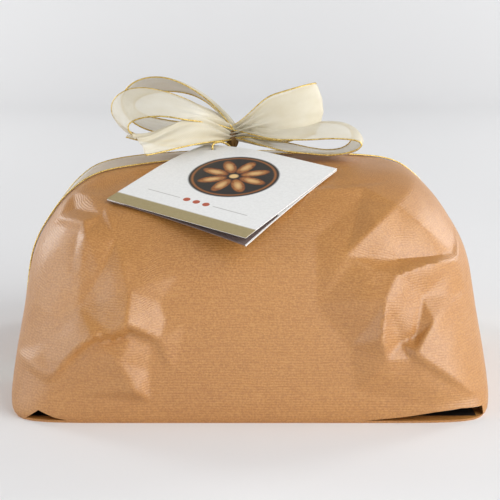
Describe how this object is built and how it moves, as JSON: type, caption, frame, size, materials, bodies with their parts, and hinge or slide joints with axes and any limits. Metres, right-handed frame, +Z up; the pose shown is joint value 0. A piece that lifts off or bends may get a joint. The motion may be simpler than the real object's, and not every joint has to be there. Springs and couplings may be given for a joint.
{
  "type": "gift-wrapped panettone",
  "caption": "Shut paper gift pack of a low domed panettone, with a wide sheer ribbon tied in a bow on top and a folded card tied on by a gold cord.",
  "frame": {"origin": "middle of the pack's underside", "axes": "+Z up, +X to the right of the pack's front, and the front with the card faces -Y"},
  "size_m": [0.2554, 0.2289, 0.1653],
  "materials": {
    "paper": "satin ribbed wrapping paper",
    "tray": "matt black card",
    "ribbon": "sheer cream ribbon with gold wired edges",
    "card": "white coated card with a printed picture",
    "gold_cord": "gold thread"
  },
  "bodies": {
    "root": {"paper_pack": "paper", "base_tray": "tray", "ribbon_band": "ribbon", "ribbon_bow": "ribbon", "gift_card": "card", "card_tie": "gold_cord"}
  },
  "joints": []
}
